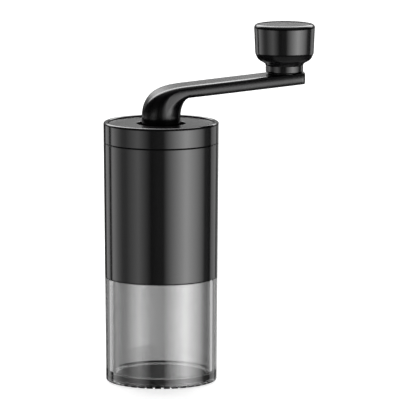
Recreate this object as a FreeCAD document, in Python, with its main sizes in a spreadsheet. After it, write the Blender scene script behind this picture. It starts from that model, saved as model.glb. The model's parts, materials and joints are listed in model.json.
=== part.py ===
import FreeCAD, Part
import math
import os
import re

import Sketcher
from FreeCAD import Placement, Rotation, Vector

# A hand crank coffee grinder, in millimetres.  +Z is up, the grinder's axis is Z, and the origin is
# at the middle of the base pad's underside.  The crank arm lies along +X.

SIZES = [
    # outer form
    ("base_radius", 27.5, "outer radius at the table"),
    ("rim_flare", 1.0, "how much further out the taper reaches at the rim"),
    ("cup_height", 51.8, "height of the clear cup's visible wall"),
    ("housing_height", 67.1, "height of the black housing"),
    ("lid_height", 10.2, "height of the lid above the seam"),
    ("seam_gap", 0.3, "open line between lid and housing"),
    ("edge_round", 0.9, "rounding of the outer foot edge"),
    ("edge_break", 0.25, "small bevel on the edges at a seam"),
    # clear cup
    ("cup_wall", 3.2, "thickness of the cup's wall at the foot"),
    ("cup_floor", 4.0, "height of the cup's inner floor"),
    ("floor_round", 1.6, "rounding where the cup's floor meets its wall"),
    ("neck_height", 8.2, "height of the neck that plugs into the housing"),
    ("seat_gap", 0.15, "gap between the cup's shoulder and the housing"),
    ("pad_margin", 5.1, "radial width of the cup's foot ring round the base pad"),
    ("pad_thickness", 1.5, "thickness of the base pad"),
    ("pad_gap", 0.1, "radial gap of the base pad in its recess"),
    ("pad_bevel", 0.4, "bevel on the base pad's lower edge"),
    ("foot_notches", 40, "number of notches round the foot"),
    ("notch_width", 1.2, "width of a foot notch"),
    ("notch_depth", 1.1, "depth of a foot notch"),
    ("notch_inset", 0.9, "radial distance from the pad's recess to the notches"),
    # fits
    ("slide_gap", 0.15, "radial gap of a push fit between two groups"),
    ("press_gap", 0.05, "radial gap of a fixed fit inside one group"),
    ("running_gap", 0.05, "radial gap of a turning fit"),
    ("face_gap", 0.15, "gap between faces that turn or lift off"),
    ("seal_section", 1.0, "thickness of a sealing ring"),
    ("seal_gap", 0.1, "gap between a sealing ring and the bore it slides in"),
    # housing
    ("shell_wall", 1.7, "wall of the housing shell at its lower edge"),
    ("liner_wall", 1.8, "wall of the bean hopper"),
    ("liner_drop", 6.9, "distance from the seam down to the hopper's mouth"),
    ("holder_gap", 1.2, "gap between the cup's neck and the burr holder"),
    ("holder_thickness", 2.8, "thickness of the burr holder"),
    ("funnel_height", 8.0, "height of the funnel above the burrs"),
    ("funnel_lip", 0.8, "thickness of the funnel's lower edge"),
    ("ledge_width", 1.1, "width of the ledges that the bearing brackets lie on"),
    ("lip_width", 0.6, "distance from the outer burr's flare to the burr holder's bore"),
    ("screw_radius", 1.25, "shank radius of the burr holder's screws"),
    ("screw_head_radius", 2.2, "head radius of the burr holder's screws"),
    ("screw_head_height", 1.4, "head height of the burr holder's screws"),
    ("screw_length", 9.0, "length of the burr holder's screws"),
    ("screw_slot", 0.7, "width of the slot in a screw's head"),
    ("hole_gap", 0.15, "radial gap of a screw in its clearance hole"),
    # bearings
    ("bracket_thickness", 2.5, "thickness of a bearing bracket's ring and arms"),
    ("bracket_ring", 2.0, "radial width of a bearing bracket's ring"),
    ("arm_strut", 4.2, "width of a bearing bracket's arm"),
    ("bush_wall", 1.2, "wall of a bearing bush"),
    ("bush_flange", 0.9, "thickness of a bush's flange"),
    ("bracket_hub_wall", 1.7, "wall of a bracket's hub round its bush"),
    ("flange_margin", 0.3, "distance from a bush's flange to the edge of its bracket's hub"),
    ("bush_rise", 1.0, "distance from the seam down to the upper bush's top"),
    ("lower_bush_rise", 3.6, "distance from the outer burr's top up to the lower bush"),
    ("hub_rise", 1.5, "height of the lower bracket's hub above its ring"),
    # shaft
    ("shaft_radius", 3.5, "radius of the drive shaft"),
    ("drive_flat", 2.7, "distance from the axis to the shaft's two driving flats"),
    ("thread_radius", 2.5, "outer radius of the adjusting thread"),
    ("collar_radius", 5.3, "radius of the shaft's collar"),
    ("collar_height", 1.5, "height of the shaft's collar"),
    ("hex_flats", 6.0, "width across flats of the shaft's hexagon end"),
    ("hex_length", 12.0, "length of the shaft's hexagon end"),
    ("hex_tip", 0.5, "length of the hexagon that stands out of the crank's insert"),
    ("flat_margin", 0.8, "length of the driving flats above the burr carrier"),
    ("flat_end", 0.6, "distance from the dial nut's upper face up to the driving flats' end"),
    ("thread_tip", 0.6, "length of thread below the dial"),
    ("small_bevel", 0.3, "bevel on the edges of small turned pieces"),
    ("flange_bevel", 0.5, "bevel on the edges of flanges and thread ends"),
    # burrs
    ("burr_wall", 5.1, "distance from the hopper's outside to the outer burr"),
    ("burr_height", 16.0, "height of the outer burr"),
    ("burr_flare", 3.0, "outer burr's wall at its lower edge"),
    ("burr_throat", 6.8, "outer burr's wall at its throat"),
    ("throat_bevel", 1.2, "bevel at the upper edge of the outer burr's throat"),
    ("throat_taper", 0.4, "how much wider the throat is at the top of the fine zone"),
    ("burr_land", 1.0, "height of the burrs' straight lower edges"),
    ("crown_wall", 2.0, "inner burr's wall at its top"),
    ("channel_overlap", 2.5, "distance the spiral channels run down into the fine zone"),
    ("flare_height", 8.0, "height of the burrs' fine grinding zone"),
    ("grind_gap", 0.5, "gap between the burrs at the finest setting"),
    ("burr_drop", 0.5, "distance the inner burr hangs below the outer burr"),
    ("burr_rise", 1.6, "distance the inner burr stands above the outer burr"),
    ("lug_reach", 1.4, "radial height of the outer burr's lugs"),
    ("lug_width", 4.0, "width of the outer burr's lugs"),
    ("lug_height", 5.5, "height of the outer burr's lugs"),
    ("fine_slots", 36, "number of fine slots in each burr"),
    ("fine_slot_size", 0.8, "size of the fine slots"),
    ("fine_skew", 12, "turn of a fine slot from end to end, in degrees"),
    ("coarse_slots", 9, "number of coarse slots in the outer burr"),
    ("coarse_slot_size", 2.0, "size of the coarse slots"),
    ("coarse_skew", 14, "turn of a coarse slot from end to end, in degrees"),
    ("channels", 7, "number of spiral channels in the inner burr"),
    ("channel_size", 3.2, "size of the spiral channels"),
    ("channel_skew", 55, "turn of a spiral channel from end to end, in degrees"),
    ("key_reach", 1.6, "radial height of the burr carrier's keys"),
    ("key_width", 2.8, "width of the burr carrier's keys"),
    ("key_height", 4.0, "height of the burr carrier's keys"),
    ("key_gap", 0.2, "gap round a key in its keyway"),
    ("burr_bore_wall", 2.4, "distance from the shaft to the inner burr's bore"),
    ("carrier_flange", 2.5, "thickness of the burr carrier's flange"),
    ("carrier_flange_radius", 13.0, "radius of the burr carrier's flange"),
    ("carrier_sleeve", 7.0, "height of the burr carrier's sleeve above its flange"),
    ("spring_wire", 0.9, "wire thickness of the burr spring"),
    ("spring_offset", 1.25, "distance from the shaft to the middle of the spring's wire"),
    ("spring_turns", 5, "number of turns of the burr spring"),
    ("washer_thickness", 0.8, "thickness of the steel washers"),
    ("click_radius", 9.0, "radius of the click washer"),
    ("detent_circle", 7.2, "distance from the axis to the click washer's detents"),
    ("detent_radius", 0.6, "radius of a detent"),
    # adjusting dial
    ("dial_radius", 11.5, "radius of the adjusting dial"),
    ("dial_height", 6.6, "height of the adjusting dial"),
    ("dial_grips", 12, "number of finger grips and of clicks on the dial"),
    ("grip_radius", 2.0, "radius of a finger grip"),
    ("grip_offset", 0.9, "distance of a grip's centre outside the dial"),
    ("dial_bevel", 1.0, "bevel on the dial's lower edge"),
    ("thread_gap", 0.3, "radial gap of the thread in the dial's hole"),
    ("nut_flats", 9.0, "width across flats of the dial's nut"),
    ("nut_height", 3.2, "height of the dial's nut"),
    ("nut_recess", 2.3, "depth of the dial's nut below its upper face"),
    # lid
    ("spigot_height", 6.0, "depth of the lid's spigot below the seam"),
    ("spigot_wall", 1.8, "wall of the lid's spigot"),
    ("rim_width", 2.4, "width of the lid's rim"),
    ("rim_round", 1.0, "rounding of the rim's top edges"),
    ("disc_drop", 0.8, "depth of the top disc below the rim"),
    ("disc_thickness", 1.6, "thickness of the top disc"),
    ("lid_plate", 2.0, "thickness of the lid under the top disc"),
    ("hub_clearance", 2.5, "gap between the crank's hub and the lid's hole"),
    ("disc_lip", 0.5, "distance the top disc reaches past the lid's hole"),
    # crank
    ("hub_radius", 9.6, "radius of the crank's hub"),
    ("crank_radius", 63.2, "distance from the shaft to the knob's axis"),
    ("bend_rise", 1.6, "height above the rim where the hub starts to bend"),
    ("bend_reach", 12.0, "distance from the shaft where the arm becomes straight"),
    ("bend_squaring", 1.9, "how late in the bend the round section turns square"),
    ("bend_top", 18.1, "height of the arm's upper face above the rim at the end of the bend"),
    ("arm_slope", 0.085, "rise of the arm per unit of its length"),
    ("outer_rise", 11.0, "upward pull of the bend's outer curve on leaving the hub"),
    ("outer_run", 14.2, "backward pull of the bend's outer curve on reaching the arm"),
    ("inner_rise", 4.8, "upward pull of the bend's inner curve on leaving the hub"),
    ("inner_run", 3.2, "backward pull of the bend's inner curve on reaching the arm"),
    ("arm_width", 19.2, "width of the crank's arm"),
    ("arm_thickness", 5.9, "thickness of the crank's arm"),
    ("arm_overhang", 8.5, "length of the arm past the knob's axis"),
    ("arm_corner", 2.2, "corner radius at the arm's end"),
    ("arm_edge", 1.0, "rounding along the arm's edges"),
    ("insert_wall", 2.2, "wall of the crank's steel insert"),
    ("spot_depth", 0.5, "depth of the knob's seat below the arm's upper face at its axis"),
    # knob
    ("spot_gap", 0.3, "radial gap between the knob's neck and its seat in the arm"),
    ("axle_radius", 3.5, "radius of the knob's axle"),
    ("axle_floor", 1.0, "thickness of the arm left under the knob's axle"),
    ("axle_bore", 1.6, "radius of the screw's bore in the knob's axle"),
    ("axle_bore_depth", 7.0, "depth of the screw's bore in the knob's axle"),
    ("neck_radius", 9.35, "radius of the knob's neck"),
    ("neck_length", 3.25, "height of the knob's neck"),
    ("knob_radius", 15.2, "radius of the knob at its upper edge"),
    ("knob_waist", 14.55, "radius of the knob above its shoulder"),
    ("knob_shoulder", 6.9, "height of the shoulder between neck and waist"),
    ("knob_height", 24.1, "height of the knob"),
    ("knob_round", 2.0, "rounding of the knob's upper edge"),
    ("cap_radius", 12.9, "radius of the disc let into the knob"),
    ("cap_thickness", 1.3, "thickness of the disc let into the knob"),
    ("cap_drop", 0.4, "depth of that disc below the knob's rim"),
    ("bush_length", 13.3, "length of the knob's bush"),
    ("axle_screw_head", 5.4, "head radius of the knob's retaining screw"),
    ("axle_screw_head_height", 1.8, "head height of the knob's retaining screw"),
    ("axle_screw_socket", 2.5, "width across flats of that screw's socket"),
    ("axle_socket_depth", 1.2, "depth of that screw's socket"),
    ("axle_head_room", 0.6, "radial room round that screw's head"),
    ("neck_bevel", 0.4, "inward step of the neck's lower edge"),
    ("neck_blend", 1.6, "radius of the hollow between neck and shoulder"),
    ("shoulder_step", 1.4, "how much wider than the neck the shoulder begins"),
    ("shoulder_foot", 1.7, "height above the neck where the shoulder begins"),
    ("shoulder_inset", 1.6, "how much narrower than the waist the shoulder's middle is"),
    ("shoulder_rise", 3.3, "height above the neck of the shoulder's middle"),
    ("shoulder_round", 4.0, "radius of the knob's shoulder"),
]

doc = FreeCAD.newDocument("coffee_grinder")
sheet = doc.addObject("Spreadsheet::Sheet", "Sizes")
for row, (alias, value, meaning) in enumerate(SIZES, start=1):
    sheet.set(f"A{row}", meaning)
    sheet.set(f"B{row}", str(value))
    sheet.setAlias(f"B{row}", alias)
doc.recompute()

ALIASES = {alias for alias, value, meaning in SIZES}
subparts = []


# ---------------------------------------------------------------- helpers

def linked(formula):
    """The formula with each size's name turned into a reference to the sheet."""
    def reference(found):
        word = found.group()
        return f"Sizes.{word}" if word in ALIASES else word
    return re.sub(r"[a-z][a-z_]*", reference, str(formula))


def size(formula):
    """The formula's present value."""
    return float(sheet.evalExpression(linked(formula)))


def bind(thing, prop, formula):
    thing.setExpression(prop, linked(formula))


def new_body(label):
    body = doc.addObject("PartDesign::Body", label)
    body.Label = label
    subparts.append(body)
    return body


def origin_plane(body, role):
    return next(plane for plane in body.Origin.OriginFeatures if plane.Role == role)


def sketch_on(body, role, height="0"):
    """An empty sketch on one of the body's own planes, raised to a height along its normal."""
    sketch = body.newObject("Sketcher::SketchObject", f"{body.Name}_sketch")
    sketch.AttachmentSupport = [(origin_plane(body, role), "")]
    sketch.MapMode = "FlatFace"
    bind(sketch, ".AttachmentOffset.Base.z", height)
    return sketch


def draw_circle(sketch, x_place, radius):
    """A circle whose centre lies on the sketch's X axis."""
    centre = Vector(size(x_place), 0, 0)
    sketch.addGeometry(Part.Circle(centre, Vector(0, 0, 1), size(radius)), False)
    bend = sketch.addConstraint(Sketcher.Constraint("Radius", 0, size(radius)))
    bind(sketch, f"Constraints[{bend}]", radius)
    sketch.addConstraint(Sketcher.Constraint("PointOnObject", 0, 3, -1))
    if abs(centre.x) < 1e-9:
        sketch.addConstraint(Sketcher.Constraint("PointOnObject", 0, 3, -2))
        return sketch
    place = sketch.addConstraint(Sketcher.Constraint("DistanceX", -1, 1, 0, 3, centre.x))
    bind(sketch, f"Constraints[{place}]", x_place)
    return sketch


def draw(sketch, outline):
    """A closed outline.  A corner is (x, y), or (x, y, radius) where an arc leads to the next one.

    A positive radius bulges to the right of the way the outline runs, a negative one to the left.
    """
    corners = [Vector(size(corner[0]), size(corner[1]), 0) for corner in outline]
    count = len(outline)
    # Which end of each edge comes first: an arc is kept counter-clockwise, so it may run backwards.
    ends = []
    for index, corner in enumerate(outline):
        start, end = corners[index], corners[(index + 1) % count]
        if len(corner) == 2:
            sketch.addGeometry(Part.LineSegment(start, end), False)
            ends.append((1, 2))
            continue
        radius = size(corner[2])
        chord = end - start
        inward = Vector(-chord.y, chord.x, 0).normalize() * math.copysign(1, radius)
        drop = math.sqrt(max(radius ** 2 - (chord.Length / 2) ** 2, 0))
        centre = (start + end) * 0.5 + inward * drop
        first, last = (start, end) if radius > 0 else (end, start)
        first_turn = math.atan2(first.y - centre.y, first.x - centre.x)
        last_turn = math.atan2(last.y - centre.y, last.x - centre.x)
        if last_turn < first_turn:
            last_turn += 2 * math.pi
        circle = Part.Circle(centre, Vector(0, 0, 1), abs(radius))
        sketch.addGeometry(Part.ArcOfCircle(circle, first_turn, last_turn), False)
        ends.append((1, 2) if radius > 0 else (2, 1))
    for index in range(count):
        following = (index + 1) % count
        joint = Sketcher.Constraint("Coincident", index, ends[index][1], following, ends[following][0])
        sketch.addConstraint(joint)
    for index, corner in enumerate(outline):
        vertex = ends[index][0]
        for axis, formula in (("X", corner[0]), ("Y", corner[1])):
            value = size(formula)
            if abs(value) < 1e-9:
                axis_line = -2 if axis == "X" else -1
                sketch.addConstraint(Sketcher.Constraint("PointOnObject", index, vertex, axis_line))
                continue
            place = Sketcher.Constraint(f"Distance{axis}", -1, 1, index, vertex, value)
            bind(sketch, f"Constraints[{sketch.addConstraint(place)}]", formula)
        if len(corner) == 3:
            bend = Sketcher.Constraint("Radius", index, abs(size(corner[2])))
            bind(sketch, f"Constraints[{sketch.addConstraint(bend)}]", f"abs({corner[2]})")
    return sketch


def turned(label, outline):
    """A body of revolution about Z, from an outline of (radius, height) corners."""
    body = new_body(label)
    sketch = draw(sketch_on(body, "XZ_Plane"), outline)
    turn = body.newObject("PartDesign::Revolution", f"{label}_turn")
    turn.Profile = sketch
    turn.ReferenceAxis = (sketch, ["V_Axis"])
    turn.Angle = 360
    doc.recompute()
    return body


def ring(label, inner, outer, low, high):
    return turned(label, [(inner, low), (outer, low), (outer, high), (inner, high)])


def pad(body, outline, low, height):
    """Add an upright block with the outline, from a low level up."""
    block = body.newObject("PartDesign::Pad", f"{body.Name}_pad")
    block.Profile = draw(sketch_on(body, "XY_Plane", low), outline)
    bind(block, "Length", height)
    doc.recompute()
    return block


def cut_down(body, sketch, depth):
    """Cut the sketch's shape down from its level, and make sure that it cuts."""
    before = body.Shape.Volume
    cut = body.newObject("PartDesign::Pocket", f"{body.Name}_pocket")
    cut.Profile = sketch
    bind(cut, "Length", depth)
    doc.recompute()
    if body.Shape.Volume > before - 1e-6:
        raise ValueError(f"{cut.Name} cuts nothing")
    return cut


def pocket(body, outline, high, depth):
    """Cut an upright hollow with the outline, from a high level down."""
    return cut_down(body, draw(sketch_on(body, "XY_Plane", high), outline), depth)


def round_hole(body, x_place, radius, high, depth):
    """Drill a round hole down from a high level, its axis at x_place on the X axis."""
    return cut_down(body, draw_circle(sketch_on(body, "XY_Plane", high), x_place, radius), depth)


def repeat_round(body, feature, count):
    """Repeat a feature evenly round Z."""
    axis = origin_plane(body, "Z_Axis")
    pattern = body.newObject("PartDesign::PolarPattern", f"{body.Name}_pattern")
    pattern.Originals = [feature]
    pattern.Axis = (axis, [""])
    pattern.Angle = 360
    bind(pattern, "Occurrences", count)
    body.Tip = pattern
    doc.recompute()
    return pattern


def rectangle(x_low, x_high, half_width):
    return [(x_low, f"-({half_width})"), (x_high, f"-({half_width})"), (x_high, half_width),
            (x_low, half_width)]


def hexagon(across_flats):
    """Corners of a hexagon about the origin, one of them on the X axis."""
    reach = f"({across_flats}) / sqrt(3)"
    corners = []
    for step in range(6):
        angle = 60 * step
        corners.append((f"{reach} * cos({angle}deg)" if angle not in (90, 270) else "0",
                        f"{reach} * sin({angle}deg)" if angle not in (0, 180) else "0"))
    return corners


def double_flat(radius, flat):
    """A round with two flats parallel to X, for a sliding drive."""
    half = f"sqrt(({radius})^2 - ({flat})^2)"
    return [(f"-({half})", f"-({flat})"), (half, f"-({flat})", radius), (half, flat),
            (f"-({half})", flat, radius)]


def solid_feature(label, shape, level="0"):
    """A sub-part whose shape comes from Part's own functions, raised to a level."""
    feature = doc.addObject("Part::Feature", label)
    feature.Shape = shape
    feature.Placement = Placement()
    bind(feature, ".Placement.Base.z", level)
    feature.Label = label
    subparts.append(feature)
    return feature


# ---------------------------------------------------------------- levels and radii

neck_top = "(cup_height + neck_height)"
shell_low = "(cup_height + seat_gap)"
seam = "(cup_height + housing_height)"
rim = f"({seam} + lid_height)"


def outside(level):
    """Outer radius of the tapered grinder at a level."""
    return f"(base_radius + rim_flare * ({level}) / {rim})"


cup_bore = "(base_radius - cup_wall)"
shell_bore = f"({outside('cup_height')} - shell_wall)"
plug_radius = f"({shell_bore} - slide_gap)"
liner_radius = f"({shell_bore} - press_gap)"
liner_bore = f"({liner_radius} - liner_wall)"
liner_top = f"({seam} - liner_drop)"

holder_low = f"({neck_top} + holder_gap)"
burr_low = f"({holder_low} + holder_thickness)"
burr_high = f"({burr_low} + burr_height)"
funnel_top = f"({burr_high} + funnel_height)"

burr_radius = f"({liner_radius} - burr_wall)"
burr_flare_radius = f"({burr_radius} - burr_flare)"
burr_throat_radius = f"({burr_radius} - burr_throat)"
zone_radius = f"({burr_throat_radius} + throat_taper)"
fine_top = f"({burr_low} + flare_height)"

bush_bore = "(shaft_radius + running_gap)"
bush_radius = f"({bush_bore} + bush_wall)"
bracket_bore = f"({bush_radius} + press_gap)"
bracket_hub = f"({bracket_bore} + bracket_hub_wall)"
bush_flange_radius = f"({bracket_hub} - flange_margin)"

upper_bush_top = f"({seam} - bush_rise)"
upper_hub_top = f"({upper_bush_top} - bush_flange)"
upper_bracket_low = f"({liner_top} - bracket_thickness)"
lower_bush_low = f"({burr_high} + lower_bush_rise)"
lower_hub_low = f"({lower_bush_low} + bush_flange)"
lower_hub_top = f"({funnel_top} + bracket_thickness + hub_rise)"

inner_burr_low = f"({burr_low} - burr_drop)"
inner_burr_top = f"({burr_high} + burr_rise)"
inner_burr_bore = "(shaft_radius + burr_bore_wall)"
carrier_low = f"({inner_burr_low} - carrier_flange)"
carrier_top = f"({inner_burr_low} + carrier_sleeve)"
spring_top = f"({lower_bush_low} - face_gap - washer_thickness)"
click_low = f"({carrier_low} - washer_thickness)"
dial_top = f"({click_low} - face_gap)"
dial_low = f"({dial_top} - dial_height)"

collar_low = f"({upper_bush_top} + face_gap)"
collar_top = f"({collar_low} + collar_height)"
hex_top = f"({collar_top} + hex_length)"
drive_top = f"({carrier_top} + flat_margin)"
drive_low = f"({click_low} - nut_recess + flat_end)"
shaft_low = f"({dial_low} - thread_tip)"

crank_low = f"({collar_top} + face_gap)"
knob_seat = f"({rim} + bend_top + (crank_radius - bend_reach) * arm_slope - spot_depth)"
insert_radius = "(hex_flats / sqrt(3) + insert_wall)"
insert_top = f"({hex_top} - hex_tip)"


# ---------------------------------------------------------------- clear cup, its pad and its seal

def seal_groove(radius, level):
    """Corners of a sealing ring's groove, cut in from a radius and centred on a level, going up."""
    floor = f"({radius} + slide_gap - seal_gap - seal_section)"
    low = f"({level} - seal_section / 2 - seal_gap)"
    high = f"({level} + seal_section / 2 + seal_gap)"
    return [(radius, low), (floor, low), (floor, high), (radius, high)]


def seal(label, radius, level):
    """A sealing ring that lies in that groove."""
    wire_radius = "seal_section / 2"
    sealing_ring = doc.addObject("Part::Torus", label)
    bind(sealing_ring, "Radius1", f"{radius} + slide_gap - seal_gap - {wire_radius}")
    bind(sealing_ring, "Radius2", wire_radius)
    bind(sealing_ring, ".Placement.Base.z", level)
    sealing_ring.Label = label
    subparts.append(sealing_ring)
    return sealing_ring


cup_seal_level = "(cup_height + neck_height / 2)"
pad_radius = "(base_radius - pad_margin)"
recess_radius = f"({pad_radius} + pad_gap)"

cup = turned("container", [
    ("0", "pad_thickness"),
    (recess_radius, "pad_thickness"),
    (recess_radius, "0"),
    ("base_radius - edge_round", "0", "edge_round"),
    (outside("edge_round"), "edge_round"),
    (outside("cup_height"), "cup_height"),
    (plug_radius, "cup_height"),
    *seal_groove(plug_radius, cup_seal_level),
    (plug_radius, f"{neck_top} - edge_break"),
    (f"{plug_radius} - edge_break", neck_top),
    (cup_bore, neck_top),
    (cup_bore, "cup_floor + floor_round", "floor_round"),
    (f"{cup_bore} - floor_round", "cup_floor"),
    ("0", "cup_floor"),
])
notch = pocket(cup, rectangle(f"{recess_radius} + notch_inset", "base_radius + 1", "notch_width / 2"),
               "notch_depth", "notch_depth")
notch_sketch = notch.Profile[0]
notch_sketch.AttachmentOffset = Placement(Vector(0, 0, 0), Rotation(Vector(0, 0, 1), 1))
bind(notch_sketch, ".AttachmentOffset.Rotation.Angle", "180 / foot_notches")
repeat_round(cup, notch, "foot_notches")

turned("base_pad", [
    ("0", "0"),
    (f"{pad_radius} - pad_bevel", "0"),
    (pad_radius, "pad_bevel"),
    (pad_radius, "pad_thickness"),
    ("0", "pad_thickness"),
])
seal("container_seal", plug_radius, cup_seal_level)


# ---------------------------------------------------------------- housing: shell and bean hopper

shell_top = f"({seam} - seam_gap / 2)"
turned("housing_shell", [
    (shell_bore, shell_low),
    (f"{outside(shell_low)} - edge_break", shell_low),
    (outside(shell_low), f"{shell_low} + edge_break"),
    (outside(shell_top), f"{shell_top} - edge_break"),
    (f"{outside(shell_top)} - edge_break", shell_top),
    (shell_bore, shell_top),
])

burr_pocket = f"({burr_radius} + press_gap)"
funnel_rim = f"({liner_bore} - ledge_width)"
bracket_seat = f"({liner_radius} - ledge_width)"
funnel_foot = f"({burr_throat_radius} + throat_bevel)"
hopper = turned("hopper", [
    (burr_pocket, burr_low),
    (liner_radius, burr_low),
    (liner_radius, liner_top),
    (bracket_seat, liner_top),
    (bracket_seat, upper_bracket_low),
    (liner_bore, upper_bracket_low),
    (liner_bore, funnel_top),
    (funnel_rim, funnel_top),
    (funnel_foot, f"{burr_high} + funnel_lip"),
    (funnel_foot, burr_high),
    (burr_pocket, burr_high),
])
slot = pocket(hopper, rectangle(f"{burr_radius} - 1", f"{burr_radius} + lug_reach + press_gap",
                                "lug_width / 2 + press_gap"),
              f"{burr_low} + lug_height + flange_bevel", "lug_height + flange_bevel")
repeat_round(hopper, slot, "3")

screw_circle = f"(({burr_pocket} + {liner_radius}) / 2)"
pilot = round_hole(hopper, f"-{screw_circle}", "screw_radius + press_gap",
                   f"{burr_low} + screw_length - holder_thickness", "screw_length - holder_thickness")
repeat_round(hopper, pilot, "3")


# ---------------------------------------------------------------- outer burr and its holder

holder = ring("burr_holder", f"{burr_flare_radius} + lip_width", f"{liner_radius} - slide_gap",
              holder_low, burr_low)
clearance_hole = round_hole(holder, f"-{screw_circle}", "screw_radius + hole_gap", burr_low,
                            "holder_thickness")
repeat_round(holder, clearance_hole, "3")
counterbore = round_hole(holder, f"-{screw_circle}", "screw_head_radius + hole_gap",
                         f"{holder_low} + screw_head_height", "screw_head_height")
repeat_round(holder, counterbore, "3")


def holder_screws():
    """Three cheese-head screws that hold the burr holder under the hopper."""
    screws = []
    low = size(holder_low)
    reach = size(screw_circle)
    head_radius = size("screw_head_radius")
    slot_width = size("screw_slot")
    for step in range(3):
        turn = math.radians(180 + 120 * step)
        foot = Vector(reach * math.cos(turn), reach * math.sin(turn), low)
        head = Part.makeCylinder(head_radius, size("screw_head_height"), foot)
        shank = Part.makeCylinder(size("screw_radius"), size("screw_length"), foot)
        corner = foot - Vector(2 * head_radius, slot_width / 2, 0)
        slot_cut = Part.makeBox(4 * head_radius, slot_width, slot_width, corner)
        screws.append(head.fuse(shank).cut(slot_cut).removeSplitter())
    return Part.makeCompound(screws)


solid_feature("holder_screws", holder_screws())


def groove_tool(start, end, width):
    """A square bar laid corner-down along a line, to cut a V groove."""
    line = end - start
    bar = Part.makeBox(width, width, line.Length, Vector(-width / 2, -width / 2, 0))
    bar.rotate(Vector(0, 0, 0), Vector(0, 0, 1), 45)
    bar.Placement = Placement(start, Rotation(Vector(0, 0, 1), line)).multiply(bar.Placement)
    return bar


GROOVES = {
    # number round the burr, size and skew of each kind of groove
    "fine": ("fine_slots", "fine_slot_size", "fine_skew"),
    "counter": ("fine_slots", "fine_slot_size", "-fine_skew"),
    "coarse": ("coarse_slots", "coarse_slot_size", "coarse_skew"),
    "channel": ("channels", "channel_size", "-channel_skew"),
}


def grooves(kind, low, high):
    """V grooves round a cone, from (radius, level) low to high, with the far end turned by the skew."""
    count, width, skew = (size(formula) for formula in GROOVES[kind])
    low_radius, low_level, high_radius, high_level = (size(formula) for formula in low + high)
    bars = []
    for step in range(round(count)):
        turn = 2 * math.pi * step / count
        start = Vector(low_radius * math.cos(turn), low_radius * math.sin(turn), low_level)
        far = turn + math.radians(skew)
        end = Vector(high_radius * math.cos(far), high_radius * math.sin(far), high_level)
        bars.append(groove_tool(start, end, width))
    return bars


def revolved(outline):
    """A solid of revolution about Z from (radius, level) corners."""
    corners = [Vector(size(radius), 0, size(level)) for radius, level in outline]
    face = Part.Face(Part.makePolygon(corners + corners[:1]))
    return face.revolve(Vector(0, 0, 0), Vector(0, 0, 1), 360)


def outer_burr():
    """The ceramic ring: coarse slots in its throat, fine slots in its flare, three lugs outside."""
    blank = revolved([
        (burr_flare_radius, burr_low),
        (burr_radius, burr_low),
        (burr_radius, burr_high),
        (funnel_foot, burr_high),
        (burr_throat_radius, f"{burr_high} - throat_bevel"),
        (zone_radius, fine_top),
        (burr_flare_radius, f"{burr_low} + burr_land"),
    ])
    lugs = []
    for step in range(3):
        lug = Part.makeBox(size("lug_reach + 1"), size("lug_width"), size("lug_height"),
                           Vector(size(burr_radius) - 1, -size("lug_width") / 2, size(burr_low)))
        lug.rotate(Vector(0, 0, 0), Vector(0, 0, 1), 120 * step)
        lugs.append(lug)
    fine = grooves("fine", (burr_flare_radius, f"{burr_low} - burr_land"), (zone_radius, fine_top))
    coarse = grooves("coarse", (zone_radius, f"{fine_top} - burr_land"),
                     (zone_radius, f"{burr_high} + burr_land"))
    return blank.multiFuse(lugs).cut(fine + coarse)


def inner_burr():
    """The ceramic cone: spiral channels above that draw the beans down, fine slots below."""
    wide = f"({burr_flare_radius} - grind_gap)"
    narrow = f"({zone_radius} - throat_bevel)"
    crown = f"({inner_burr_bore} + crown_wall)"
    blank = revolved([
        (inner_burr_bore, inner_burr_low),
        (f"{wide} - flange_bevel", inner_burr_low),
        (wide, f"{inner_burr_low} + flange_bevel"),
        (wide, f"{burr_low} + burr_land"),
        (narrow, fine_top),
        (crown, inner_burr_top),
        (inner_burr_bore, inner_burr_top),
    ])
    fine = grooves("counter", (wide, f"{inner_burr_low} - burr_land"), (narrow, fine_top))
    channels = grooves("channel", (f"{narrow} + burr_land", f"{fine_top} - channel_overlap"),
                       (f"{crown} + burr_land", f"{inner_burr_top} + burr_land"))
    keys = []
    for step in range(3):
        keyway = Part.makeBox(size("key_reach + 1"), size("key_width + key_gap"),
                              size("key_height + key_gap"),
                              Vector(size(f"{inner_burr_bore} + key_gap") - 1,
                                     -size("key_width + key_gap") / 2, size(inner_burr_low)))
        keyway.rotate(Vector(0, 0, 0), Vector(0, 0, 1), 120 * step)
        keys.append(keyway)
    return blank.cut(fine + channels + keys)


solid_feature("outer_burr", outer_burr())
solid_feature("inner_burr", inner_burr())


# ---------------------------------------------------------------- bearings

def bracket(label, ring_radius, ring_low, hub_low, hub_high):
    """A bearing bracket: a ring on the hopper's ledge, three arms and a hub."""
    body = turned(label, [(bracket_bore, hub_low), (bracket_hub, hub_low), (bracket_hub, hub_high),
                          (bracket_bore, hub_high)])
    strut = pad(body, rectangle(f"{bracket_hub} - bracket_hub_wall / 2", f"{ring_radius} - bracket_ring / 2",
                                "arm_strut / 2"), ring_low, "bracket_thickness")
    repeat_round(body, strut, "3")
    outer_ring = body.newObject("PartDesign::Revolution", f"{label}_ring")
    outer_ring.Profile = draw(sketch_on(body, "XZ_Plane"), [
        (f"{ring_radius} - bracket_ring", ring_low),
        (ring_radius, ring_low),
        (ring_radius, f"{ring_low} + bracket_thickness"),
        (f"{ring_radius} - bracket_ring", f"{ring_low} + bracket_thickness"),
    ])
    outer_ring.ReferenceAxis = (outer_ring.Profile[0], ["V_Axis"])
    outer_ring.Angle = 360
    doc.recompute()
    return body


bracket("upper_bracket", f"({bracket_seat} - press_gap)", upper_bracket_low, upper_bracket_low,
        upper_hub_top)
bracket("lower_bracket", f"({liner_bore} - press_gap)", funnel_top, lower_hub_low, lower_hub_top)

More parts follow.
